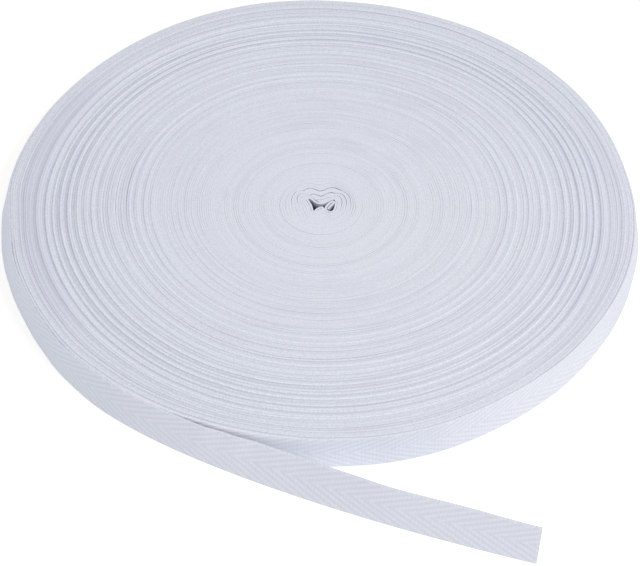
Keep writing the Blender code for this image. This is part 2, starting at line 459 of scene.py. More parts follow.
    def outer_face(self, turn: Array) -> Array:
        """Where the tape's outer face lies at its top edge.

        Args:
            turn: Places along the tape, as turns.

        Returns:
            Its plan position at each, from the roll's axis.
        """
        angle = self.angle(turn)
        direction = on_circle(angle)
        degrees = np.degrees(angle)
        radius = self.radius(turn)
        inset = (self.centred_radius - radius) / (self.centred_radius - self.round_radius)
        centre = np.clip(inset, 0.0, 1.0)[:, None] * np.array(self.round_centre)
        excess = self.rim.at(degrees) * MM - self.start_radius
        reach = np.maximum(radius, self.round_radius) + excess * self.follow(turn) + self.stray(turn)
        wound = centre + direction * reach[:, None]

        depth = np.maximum((self.round_radius - radius) / self.pitch, 0.0)
        hole = np.array(self.crush.centre) + direction * (self.hole.at(degrees) * MM)[:, None]
        inward = hole - wound
        room = np.linalg.norm(inward, axis=1)
        tight = np.minimum(self.core_pitch, room / self.core_turns)
        slack = room - self.core_turns * tight
        early = self.gather.at(degrees) - self.gather_spread
        gathered = smooth((depth / self.core_turns - early) / (2.0 * self.gather_spread))
        travel = np.where(depth > 0.0, depth * tight + slack * gathered, 0.0)
        return wound + inward * (travel / room)[:, None]

    def inner_share(self, turn: Array, outer: Array, within: Array) -> Array:
        """Where the tape's inner face lies.

        Args:
            turn: Places along the tape, as turns.
            outer: The plan positions of its outer face there.
            within: Those of the next turn within.

        Returns:
            The share of the way from the one to the other at each.
        """
        spacing = np.linalg.norm(outer - within, axis=1)
        loose = smooth((self.round_radius + self.loosening - self.radius(turn)) / self.loosening)
        thickest = self.thickest * (1.0 + loose)
        return np.minimum(thickest, spacing - self.gaps.at(turn) * MM) / spacing

    def lift(self, turn: Array) -> Array:
        """How far the tape is pushed up here, in metres."""
        ridge = self.level(turn, self.settle_reach) * MM
        return np.maximum(ridge * self.ridge_rise + self.wander(self.wanders, turn), 0.0)

    def recess(self, turn: Array) -> Array:
        """How shaded the tape's top is for lying below its neighbours, from 0 to 1."""
        below = self.level(turn, self.level_reach) - self.level(turn, self.settle_reach)
        return np.clip(self.shade + self.shade_gain * below, 0.0, 1.0)

    def seam(self, turn: Array) -> Array:
        """How dark the painted shade in the seam between this turn and the next one out is, from 0 to 1."""
        return np.clip(self.seam_shade + self.wander(self.seam_wanders, turn), 0.0, 1.0)

    def level(self, turn: Array, reach: float) -> Array:
        """The mean of the ridges within this reach each way of the tape, in mm."""
        about = np.linspace(-reach, reach, self.level_places)
        return np.mean([self.ridges.at((self.radius(turn) + apart) / MM) for apart in about], axis=0)


@dataclass(frozen=True)
class Strip:
    """A closed length of tape: loops of points across it, with their cloth coordinates and their shade.

    A shade of 0 is the cloth's own tone and 1 is the deep tone, painted shade. Below 0 it goes towards the
    lit tone, painted light.
    """

    loops: Array
    along: Array
    across: Array
    shade: Array

    def cut(self, first: int, last: int) -> "Strip":
        """The length from one station to another, both included."""
        stations = slice(first, last + 1)
        return Strip(self.loops[stations], self.along[stations], self.across, self.shade[stations])

    def length(self) -> float:
        """The flat length of the tape in this strip, in metres."""
        return float(self.along[-1] - self.along[0])

    def build(self, name: str, material: Material) -> Object:
        """Makes the mesh.

        Args:
            name: The new piece's name.
            material: Its finish.

        Returns:
            The piece, closed at both ends, with its cloth coordinates in a UV map.
        """
        stations, ring, _ = self.loops.shape
        start = (np.arange(stations - 1) * ring)[:, None]
        here = start + np.arange(ring)[None]
        beside = start + (np.arange(ring)[None] + 1) % ring
        quads = np.stack([here, here + ring, beside + ring, beside], axis=-1).reshape(-1, 4)
        last = (stations - 1) * ring
        caps = [list(range(ring)), list(range(last, last + ring))[::-1]]
        mesh = bpy.data.meshes.new(name)
        mesh.from_pydata(self.loops.reshape(-1, 3).tolist(), [], quads.tolist() + caps)
        mesh.uv_layers.new(name="cloth")
        mesh.uv_layers["cloth"].data.foreach_set("uv", self.cloth_map().ravel())
        mesh.attributes.new("shade", "FLOAT", "POINT")
        mesh.attributes["shade"].data.foreach_set("value", self.shade.astype(np.float32).ravel())
        mesh.materials.append(material)
        mesh.shade_smooth()
        mesh.set_sharp_from_angle(angle=math.radians(SHARP_DEGREES))
        return stand(name, mesh)

    def cloth_map(self) -> Array:
        """The cloth coordinates of every face corner.

        Returns:
            Length along and distance across the tape, in metres, in the order of the faces.
        """
        stations, ring, _ = self.loops.shape
        along = np.broadcast_to(self.along[:, None], (stations, ring + 1))
        across = np.broadcast_to(self.across[None], (stations, ring + 1))
        grid = np.stack([along, across], axis=-1)
        quads = np.stack([grid[:-1, :-1], grid[1:, :-1], grid[1:, 1:], grid[:-1, 1:]], axis=2)
        return np.concatenate([quads.reshape(-1, 2), grid[0, :-1], grid[-1, :-1][::-1]])


class Turns:
    """All the wound turns but the last, from the crushed end at the middle outwards."""

    # Across one turn: the share from its outer to its inner face, and how far below the top edge.
    TOP: Rows = ((0.0, 0.04), (0.10, 0.01), (0.36, 0.0), (0.64, 0.0), (0.90, 0.01), (1.0, 0.04))
    FOOT: Rows = ((1.0, 0.12), (0.85, 0.02), (0.15, 0.02), (0.0, 0.12))
    # How far the painted shade of the seams outside and inside a turn reaches across those rows.
    OUTER_SEAM: tuple[float, ...] = (1.0, 0.15, 0.0, 0.0, 0.0, 0.0)
    INNER_SEAM: tuple[float, ...] = (0.0, 0.0, 0.0, 0.0, 0.15, 1.0)
    # How much of the step up or down to each neighbour a turn's soft top takes up by leaning.
    LEVELLING: float = 0.62
    # The shade at the foot's corners, by radius in mm. It fades upwards, and is full well below the tops. The
    # flat underside between the corners is as light as an even top.
    DEEP_SHADE = eased((13.0, 4.0), (40.0, 1.5))
    # Stations in one turn, up to each radius in mm.
    FINENESS: tuple[tuple[float, int], ...] = (
        (13.0, 120), (20.0, 96), (30.0, 120), (42.0, 144),
        (58.0, 176), (76.0, 208), (94.0, 232), (110.0, 256),
    )
    # The wound tape is declared in lengths, each up to this radius in mm.
    LENGTHS: tuple[tuple[str, float], ...] = (
        ("turns_core", 13.0),
        ("turns_inner", 52.0),
        ("turns_middle", 82.0),
        ("turns_outer", 110.0),
    )

    def __init__(self, winding: Winding, weave: Weave, axis: Array) -> None:
        """Follows the tape from its inner end to the last turn.

        Args:
            winding: Where the turns lie.
            weave: The cloth.
            axis: The plan position of the roll's axis.
        """
        self.winding = winding
        self.weave = weave
        self.axis = axis
        self.turn = self.places()
        self.follow_tape()

    def places(self) -> Array:
        """Spaces the stations along the wound tape.

        Returns:
            Their places, as turns.
        """
        found = []
        start = self.winding.first_turn
        for radius_mm, count in self.FINENESS:
            limit = (radius_mm * MM - self.winding.start_radius) / self.winding.pitch
            end = min(limit, -1.0)
            if end > start:
                steps = max(round((end - start) * count), 1)
                found.append(np.linspace(start, end, steps, endpoint=False))
                start = end
        return np.append(np.concatenate(found), -1.0)

    def follow_tape(self) -> None:
        """Finds the plan of both faces at every station, the crushed end first, and the length to each."""
        winding = self.winding
        outer = winding.outer_face(self.turn)
        within = winding.outer_face(self.turn - 1.0)
        inner = outer + (within - outer) * winding.inner_share(self.turn, outer, within)[:, None]
        direction = on_circle(winding.angle(self.turn))
        outer_foot = outer + direction * winding.foot_out(self.turn)[:, None]
        inner_foot = inner + direction * winding.foot_out(self.turn - 1.0)[:, None]

        middle = (outer + inner) / 2.0
        line = winding.crush.centreline(middle[0], middle[2])
        heading = np.gradient(line, axis=0)
        heading /= np.linalg.norm(heading, axis=1)[:, None]
        right = np.stack([heading[:, 1], -heading[:, 0]], axis=1) * winding.crush.thickness / 2.0
        self.outer = np.concatenate([line + right, outer])
        self.inner = np.concatenate([line - right, inner])
        self.outer_foot = np.concatenate([line + right, outer_foot])
        self.inner_foot = np.concatenate([line - right, inner_foot])
        self.turn = np.concatenate([np.full(len(line), self.turn[0]), self.turn])
        self.arc = length_along((self.outer + self.inner) / 2.0)

    def strip(self, onward: float) -> Strip:
        """The wound tape as one strip.

        Args:
            onward: The length of tape past the last of these turns, in metres.

        Returns:
            The strip, with its length measured back from the cut end.
        """
        winding = self.winding
        lift = winding.lift(self.turn)
        step_out, step_in = winding.lift(self.turn + 1.0) - lift, winding.lift(self.turn - 1.0) - lift
        crest = self.weave.width * winding.upright(self.turn) + lift
        loops = []
        for share, below in self.TOP:
            plan = self.outer + (self.inner - self.outer) * share
            lean = self.LEVELLING * (max(0.5 - share, 0.0) * step_out + max(share - 0.5, 0.0) * step_in)
            loops.append(np.column_stack([plan, crest + lean - below * MM]))
        for share, above in self.FOOT:
            plan = self.outer_foot + (self.inner_foot - self.outer_foot) * share
            loops.append(np.column_stack([plan, lift + above * MM]))
        loops = np.stack(loops, axis=1)
        loops[:, :, :2] += self.axis
        # The top edge and the foot lie past the cloth's width in its coordinates, where it shows no twill.
        across = [self.weave.width + share * winding.pitch for share, _ in self.TOP]
        across += [-share * winding.pitch for share, _ in self.FOOT]
        across += [self.weave.width]
        top = np.repeat(winding.recess(self.turn)[:, None], len(self.TOP), axis=1)
        top += np.outer(winding.seam(self.turn), self.OUTER_SEAM)
        top += np.outer(winding.seam(self.turn - 1.0), self.INNER_SEAM)
        deep = self.DEEP_SHADE.at(winding.radius(self.turn) / MM)
        foot = np.repeat(deep[:, None], len(self.FOOT), axis=1)
        foot[:, 1:-1] = winding.shade
        shade = np.concatenate([top, foot], axis=1)
        return Strip(loops, self.arc - self.arc[-1] - onward, np.array(across), shade)

    def build(self, onward: float, material: Material) -> list[Object]:
        """Makes the wound turns, in lengths.

        Args:
            onward: The length of tape past the last of these turns, in metres.
            material: Their finish.

        Returns:
            The pieces, from the middle of the roll outwards.
        """
        whole = self.strip(onward)
        radius = self.winding.radius(self.turn)
        pieces = []
        first = 0
        for name, limit in self.LENGTHS:
            last = int(np.searchsorted(radius, limit * MM, side="right")) - 1
            part = whole.cut(first, last)
            piece = part.build(name, material)
            part.length()
            pieces.append(piece)
            first = last
        return pieces


class LooseEnd:
    """The last turn of the tape, which is the roll's wall, and the loose end that springs from it."""

    SPACING: float = 0.7 * MM
    ROUNDING: float = 0.35 * MM
    OUTER_ROWS: int = 31
    INNER_ROWS: int = 20
    # Over each edge: distance in from the face as a share of the thickness, and how far down from the edge.
    EDGE: Rows = ((0.10, 0.12), (0.33, 0.0), (0.67, 0.0), (0.90, 0.12))

    THICKNESS: float = 0.78 * MM
    LEAVE_DEGREES: float = 230.37
    LEAVE_RADIUS: float = 109.71 * MM
    FREE_LENGTH: float = 150.8 * MM
    # Its curl, per metre, relaxes from the roll's own to a faint one, which then falls with the length.
    RELAX_LENGTH: float = 27.6 * MM
    FAINT_CURL: float = 1.598
    CURL_FALL: float = 3.10
    PATH_STEP: float = 0.25 * MM
    SETTLE_TURNS: float = 0.08

    # Where its foot stands while it still lies against the roll: the radius in mm by angle.
    HUG_FOOT = eased(
        (190, 109.42), (197, 108.84), (205, 108.43), (212, 108.62), (220, 109.22), (230.37, 109.71)
    )
    # How far the loose end leans back towards the roll, in degrees by its length in mm past the springing.
    LEANS = eased(
        (-80, 13.6), (-64, 8.0), (-50, 6.8), (-24, 6.3), (0, 11.5), (20, 14.0), (36, 16.5),
        (46, 23.0), (57, 30.0), (70, 32.0), (86, 28.0), (102, 23.5), (125, 26.5), (151, 21.5),
    )
    # The herringbone fades in on its inner face over this run, from this many stations before the springing.
    FREE_RUN: float = 20 * MM
    FREE_BEFORE: int = 20
    # How shaded the tape's faces are, by turn.
    SHADE = eased((-0.05, 0.075), (0.05, 0.125))
    # How much lighter the faces of the gap behind the loose end are, by turn. Light comes through there.
    LIGHTER = eased(
        (-0.93, 0.0), (-0.885, 1.0), (-0.83, 0.80), (-0.79, 0.22), (-0.75, 0.0),
        (0.04, 0.0), (0.09, 1.0), (0.22, 1.0), (0.30, 0.0),
    )

    def __init__(self, winding: Winding, weave: Weave) -> None:
        """Follows the tape from the last full turn to its cut end.

        Args:
            winding: Where the turns lie.
            weave: The cloth.
        """
        self.winding = winding
        self.weave = weave
        wound, hugging, free = self.last_turn(), self.hugging(), self.free()
        joined = [np.concatenate(columns) for columns in zip(wound, hugging, free)]
        self.foot, self.heading, self.lean, self.thick_top, self.thick_foot, self.lift = joined
        self.arc = length_along(self.foot)
        self.along = self.arc - self.arc[-1]
        self.wound_count = len(wound[0])
        springing = self.wound_count + len(hugging[0])
        self.free_share = smooth((self.arc - self.arc[springing - self.FREE_BEFORE]) / self.FREE_RUN)

    def last_turn(self) -> tuple[Array, ...]:
        """The last full turn.

        Returns:
            The foot, heading, lean, thickness at the top and at the foot, and lift of its stations.
        """
        winding = self.winding
        count = round(TAU * winding.start_radius / self.SPACING)
        turn = np.linspace(-1.0, 0.0, count, endpoint=False)
        angle = winding.angle(turn)
        outer, within = winding.outer_face(turn), winding.outer_face(turn - 1.0)
        out, within_out = winding.foot_out(turn), winding.foot_out(turn - 1.0)
        foot = outer + on_circle(angle) * out[:, None]
        thick_top = np.linalg.norm(outer - within, axis=1) - winding.gap
        thick_foot = thick_top + out - within_out
        lean = np.arcsin(out / self.weave.width)
        return foot, angle + math.pi / 2.0, lean, thick_top, thick_foot, winding.lift(turn)

    def hugging(self) -> tuple[Array, ...]:
        """The loose end where it still lies against the roll, with its foot drawn outwards.

        Returns:
            What last_turn gives, for its stations.
        """
        start, leave = math.radians(self.winding.start_degrees), math.radians(self.LEAVE_DEGREES)
        count = round((leave - start) * self.LEAVE_RADIUS / self.SPACING)
        angle = np.linspace(start, leave, count, endpoint=False)
        radius = self.HUG_FOOT.at(np.degrees(angle)) * MM
        lean = np.radians(self.LEANS.at((angle - leave) * self.LEAVE_RADIUS / MM))
        turn = (angle - start) / TAU
        lift = self.winding.lift(turn) * (1.0 - smooth(turn / self.SETTLE_TURNS))
        thick = np.full(count, self.THICKNESS)
        return on_circle(angle) * radius[:, None], angle + math.pi / 2.0, lean, thick, thick, lift

    def free(self) -> tuple[Array, ...]:
        """The free end, found by following the tape's curl in short steps.

        Returns:
            What last_turn gives, for its stations.
        """
        count = round(self.FREE_LENGTH / self.PATH_STEP)
        middle = (np.arange(count) + 0.5) * self.PATH_STEP
        ease = np.exp(-middle / self.RELAX_LENGTH)
        curl = (1.0 / self.LEAVE_RADIUS - self.FAINT_CURL) * ease + self.FAINT_CURL - self.CURL_FALL * middle
        leave = math.radians(self.LEAVE_DEGREES)
        heading = leave + math.pi / 2.0 + np.append(0.0, np.cumsum(curl * self.PATH_STEP))
        middle_heading = (heading[:-1] + heading[1:]) / 2.0
        steps = np.cumsum(on_circle(middle_heading) * self.PATH_STEP, axis=0)
        start = on_circle(np.array([leave])) * self.LEAVE_RADIUS
        path = np.concatenate([start, start + steps])
        arc = np.arange(count + 1) * self.PATH_STEP
        even = np.linspace(0.0, self.FREE_LENGTH, round(self.FREE_LENGTH / self.SPACING) + 1)
        lean = np.radians(self.LEANS.at(even / MM))
        thick = np.full(len(even), self.THICKNESS)
        foot, heading = read_line(path, arc, even), np.interp(even, arc, heading)
        return foot, heading, lean, thick, thick, np.zeros(len(even))

    def section(self) -> tuple[Array, Array, Array]:
        """The loop of points across the tape.

        Returns:
            Their distance up from its foot, their share of its thickness, and which face they lie on: 1 for
            the outer one, -1 for the inner one and 0 for an edge.
        """
        width, rounding = self.weave.width, self.ROUNDING
        rising = np.linspace(rounding, width - rounding, self.OUTER_ROWS)
        falling = np.linspace(width - rounding, rounding, self.INNER_ROWS)
        edge_in, edge_down = (np.array(column) for column in zip(*self.EDGE))
        up = np.concatenate([rising, width - edge_down * MM, falling, edge_down * MM])
        through = np.concatenate([np.zeros_like(rising), edge_in, np.ones_like(falling), edge_in[::-1]])
        edges = np.zeros_like(edge_in)
        face = np.concatenate([np.ones_like(rising), edges, -np.ones_like(falling), edges])
        return up, through, face

    def strip(self, axis: Array) -> Strip:
        """The last turn and the loose end as one strip, with the herringbone raised on its faces.

        Args:
            axis: The plan position of the roll's axis.

        Returns:
            The strip, with its length measured back from the cut end.
        """
        up, through, face = self.section()
        lean = self.lean[:, None]
        thick = self.thick_foot[:, None] + (self.thick_top - self.thick_foot)[:, None] * up / self.weave.width
        raised = self.weave.relief(self.along[:, None], up)
        raised = np.where(face > 0, raised, -raised * self.free_share[:, None]) * np.abs(face)
        outward = -up * np.sin(lean) - through * thick / np.cos(lean) + raised * np.cos(lean)
        height = self.lift[:, None] + up * np.cos(lean) + raised * np.sin(lean)
        right = np.stack([np.sin(self.heading), -np.cos(self.heading)], axis=1)
        plan = self.foot[:, None, :] + right[:, None, :] * outward[..., None] + axis
        loops = np.concatenate([plan, np.maximum(height, 0.0)[..., None]], axis=2)
        turn = (self.arc - self.arc[self.wound_count]) / (TAU * self.winding.start_radius)
        facing_gap = np.maximum(np.where(turn[:, None] < 0.0, face, -face), 0.0)
        lighter = self.LIGHTER.at(turn)[:, None] * facing_gap
        shade = self.SHADE.at(turn)[:, None] * (1.0 - lighter) - lighter
        return Strip(loops, self.along, np.append(up, up[0]), shade)

    def build(self, axis: Array, material: Material) -> Object:
        """Makes the last turn and the loose end.

        Args:
            axis: The plan position of the roll's axis.
            material: Their finish.

        Returns:
            The piece.
        """
        strip = self.strip(axis)
        piece = strip.build("tape_end", material)
        strip.length()
        return piece


def roll_axis(end: LooseEnd) -> Array:
    """The plan position of the roll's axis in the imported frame, from where its loose end lies there.

    Args:
        end: The loose end, still about the roll's own axis.

    Returns:
        The axis, as x and y.
    """
    low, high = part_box("loose_end")
    lean = end.lean[-1]
    heading = end.heading[-1]
    cad_thickness = 1.0 * MM
    reach = end.weave.width * math.sin(lean) + cad_thickness / math.cos(lean)
    inner_top_x = end.foot[-1, 0] - math.sin(heading) * reach
    return np.array([high.x - inner_top_x, low.y - end.foot[-1, 1]])


class Sum(Enum):
    """The sums that the finishes use."""

    TAKE = "SUBTRACT"
    TIMES = "MULTIPLY"
    OVER = "DIVIDE"
    SIZE = "ABSOLUTE"
    LEAST = "MINIMUM"
    COSINE = "COSINE"
    POWER = "POWER"
    TIMES_ADD = "MULTIPLY_ADD"


Value = float | NodeSocket


@dataclass(frozen=True)
class Bench:
    """Adds and joins the nodes of one tree."""

    tree: NodeTree

    def add(self, kind: str, **sockets: Value) -> Node:
        """Adds a node and fills its inputs, named with _ for a space."""
        return self.fill_all(self.tree.nodes.new(kind), **sockets)

    def fill_all(self, node: Node, **sockets: Value) -> Node:
        """Fills the inputs of a node.

        Args:
            node: The node.
            **sockets: Values or sockets, by the input's name with _ for a space.

        Returns:
            The same node.
        """
        for name, value in sockets.items():
            self.fill(node.inputs[name.replace("_", " ")], value)
        return node

    def place(self, tree: NodeTree, **sockets: Value) -> Node:
        """Places a shared effect.

        Args:
            tree: Its node group.
            **sockets: Values or sockets, by the input's name.

        Returns:
            The node that holds it.
        """
        node = self.tree.nodes.new("ShaderNodeGroup")
        node.node_tree = tree
        return self.fill_all(node, **sockets)

    def fill(self, socket: NodeSocket, value: Value) -> None:
        """Joins a socket to another, or sets its value.

        Args:
            socket: The socket to fill.
            value: The other socket, or the value.
        """
        if isinstance(value, NodeSocket):
            self.tree.links.new(value, socket)
        else:
            socket.default_value = value

    def sum(self, kind: Sum, first: Value, second: Value = 0.0, third: Value = 0.0) -> NodeSocket:
        """Adds a sum.

        Args:
            kind: Which sum.
            first: Its first value.
            second: Its second value, where it takes two.
            third: Its third value, where it takes three.

        Returns:
            The socket of its result.
        """
        node = self.tree.nodes.new("ShaderNodeMath")
        node.operation = kind.value
        for socket, value in zip(node.inputs, (first, second, third)):
            self.fill(socket, value)
        return node.outputs[0]

    def ease(self, value: Value, low: float, high: float) -> NodeSocket:
        """Adds a smooth step.

        Args:
            value: What it reads.
            low: Where it is 0.
            high: Where it is 1.

        Returns:
            The socket of its result.
        """
        node = self.add("ShaderNodeMapRange", Value=value, From_Min=low, From_Max=high)
        node.interpolation_type = "SMOOTHSTEP"
        return node.outputs["Result"]

    def wave(self, angle: Value) -> NodeSocket:
        """Adds a wave from 0 to 1, by its angle in radians."""
        return self.sum(Sum.TIMES_ADD, self.sum(Sum.COSINE, angle), 0.5, 0.5)

    def blend(self, share: Value, first: Value | Colour, second: Value | Colour) -> NodeSocket:
        """Adds a blend of two colours.

        Args:
            share: The share of the second.
            first: The first colour.
            second: The second colour.

        Returns:
            The socket of the blend.
        """
        node = self.tree.nodes.new("ShaderNodeMix")
        node.data_type = "RGBA"
        # The sockets of a colour mix have the same names as those of its other kinds, so they go by number.
        for socket, value in ((0, share), (6, first), (7, second)):
            self.fill(node.inputs[socket], value)
        return node.outputs[2]

    def noise(self, place: Value, scale: float, detail: float = 2.0) -> NodeSocket:
        """Adds a noise about 0.5."""
        return self.add("ShaderNodeTexNoise", Vector=place, Scale=scale, Detail=detail).outputs[0]


def effect(name: str, inputs: dict[str, str], outputs: dict[str, str]) -> tuple[Bench, dict, dict]:
    """Starts a node group.

    Args:
        name: The group's name.
        inputs: Its inputs' names and socket kinds.
        outputs: Its outputs' names and socket kinds.

    Returns:
        The bench to build it on, its input sockets and its output sockets, by name.
    """
    tree = bpy.data.node_groups.new(name, "ShaderNodeTree")
    for label, kind in inputs.items():
        tree.interface.new_socket(label, in_out="INPUT", socket_type=kind)
    for label, kind in outputs.items():
        tree.interface.new_socket(label, in_out="OUTPUT", socket_type=kind)
    entry = tree.nodes.new("NodeGroupInput")
    leaving = tree.nodes.new("NodeGroupOutput")
    return Bench(tree), dict(entry.outputs.items()), dict(leaving.inputs.items())


def twill_effect(weave: Weave) -> NodeTree:
    """The herringbone's lines and the small pits between its threads.

    Args:
        weave: The cloth.

    Returns:
        A group that takes the cloth coordinates and puts out the lines, the pits and the share of face.
    """
    bench, given, made = effect(
        "herringbone_twill",
        {"Cloth": "NodeSocketVector"},
        {"Lines": "NodeSocketFloat", "Pits": "NodeSocketFloat", "Face": "NodeSocketFloat"},
    )
    parts = bench.add("ShaderNodeSeparateXYZ", Vector=given["Cloth"])
    along, across = parts.outputs[0], parts.outputs[1]
    half = weave.width / 2.0
    from_middle = bench.sum(Sum.SIZE, bench.sum(Sum.TAKE, across, half))
    bench.fill(made["Face"], bench.ease(from_middle, half + weave.fade_past, half - weave.fade_inside))
    lengthwise = bench.sum(Sum.TIMES, along, TAU / weave.repeat_along)
    phase = bench.sum(Sum.TIMES_ADD, from_middle, -TAU / weave.repeat_across, lengthwise)
    bench.fill(made["Lines"], bench.wave(phase))
    crossing = bench.wave(bench.sum(Sum.OVER, bench.sum(Sum.TIMES, along, TAU), weave.thread_spacing))
    lengthways = bench.wave(bench.sum(Sum.TIMES, phase, weave.threads))
    bench.fill(made["Pits"], bench.sum(Sum.TIMES, crossing, lengthways))
    return bench.tree


@dataclass(frozen=True)
class Fibre:
    """The cotton's own roughness: fine fibres, and threads that show as short dashes along an edge. The
    finish darkens the dashes, partly for the threads' own tone and partly as painted shade.
    """

    fuzz_scale: float = 2600.0
    fuzz_detail: float = 3.0
    dash_scale: tuple[float, float, float] = (1400.0, 1500.0, 1.0)

    def effect(self) -> NodeTree:
        """Builds the group.

        Returns:
            A group that takes the place and the cloth coordinates and puts out the fuzz and the dashes.
        """
        bench, given, made = effect(
            "cotton_fibre",
            {"Place": "NodeSocketVector", "Cloth": "NodeSocketVector"},
            {"Fuzz": "NodeSocketFloat", "Dashes": "NodeSocketFloat"},
        )
        bench.fill(made["Fuzz"], bench.noise(given["Place"], self.fuzz_scale, self.fuzz_detail))
        stretched = bench.add("ShaderNodeMapping", Vector=given["Cloth"], Scale=self.dash_scale)
        bench.fill(made["Dashes"], bench.noise(stretched.outputs[0], 1.0))
        return bench.tree


@dataclass(frozen=True)
class Drift:
    """The slow drift of the cotton's tone, in patches that run along the turns, and besides them a darker
    lavender band near the rim at the left and the right.

    Each pair gives where a tone sets in and where it is whole.
    """

    rim: float = 107.0 * MM
    broad_scale: float = 14.0
    streak_scale: float = 2.5
    streaks_outward: float = 120.0
    patches: Pair = (0.28, 0.40)
    # The band near the rim: its inner and outer edge, and the part of it at the left and at the right.
    inner_edge: Pair = (93.5 * MM, 96.5 * MM)
    outer_edge: Pair = (104.5 * MM, 101.5 * MM)
    left: Pair = (-0.72, -0.92)
    right: Pair = (0.80, 0.98)
    right_strength: float = 0.55

    def effect(self, axis: Array) -> NodeTree:
        """Builds the group.

        Args:
            axis: The plan position of the roll's axis.

        Returns:
            A group that takes the place and puts out the patches, the band near the rim at the sides, and the
            share of the way out to the rim.
        """
        bench, given, made = effect(
            "tone_drift_and_rim_band",
            {"Place": "NodeSocketVector"},
            {"Patches": "NodeSocketFloat", "Band": "NodeSocketFloat", "Outward": "NodeSocketFloat"},
        )
        parts = bench.add("ShaderNodeSeparateXYZ", Vector=given["Place"])
        across = bench.sum(Sum.TAKE, parts.outputs[0], float(axis[0]))
        back = bench.sum(Sum.TAKE, parts.outputs[1], float(axis[1]))
        squares = bench.sum(Sum.TIMES_ADD, across, across, bench.sum(Sum.TIMES, back, back))
        radius = bench.sum(Sum.POWER, squares, 0.5)
        towards_right = bench.sum(Sum.OVER, across, radius)
        towards_back = bench.sum(Sum.OVER, back, radius)
        outward = bench.sum(Sum.TIMES, radius, self.streaks_outward)
        wound = bench.add("ShaderNodeCombineXYZ", X=towards_right, Y=towards_back, Z=outward)
        broad = bench.noise(given["Place"], self.broad_scale, 1.0)
        patchy = bench.sum(Sum.TIMES, broad, bench.noise(wound.outputs[0], self.streak_scale))
        bench.fill(made["Patches"], bench.ease(patchy, *self.patches))
        ring = bench.sum(
            Sum.TIMES, bench.ease(radius, *self.inner_edge), bench.ease(radius, *self.outer_edge)
        )
        at_left = bench.ease(towards_right, *self.left)
        at_right = bench.ease(towards_right, *self.right)
        sides = bench.sum(Sum.TIMES_ADD, at_right, self.right_strength, at_left)
        bench.fill(made["Band"], bench.sum(Sum.TIMES, ring, sides))
        bench.fill(made["Outward"], bench.sum(Sum.OVER, radius, self.rim))
        return bench.tree


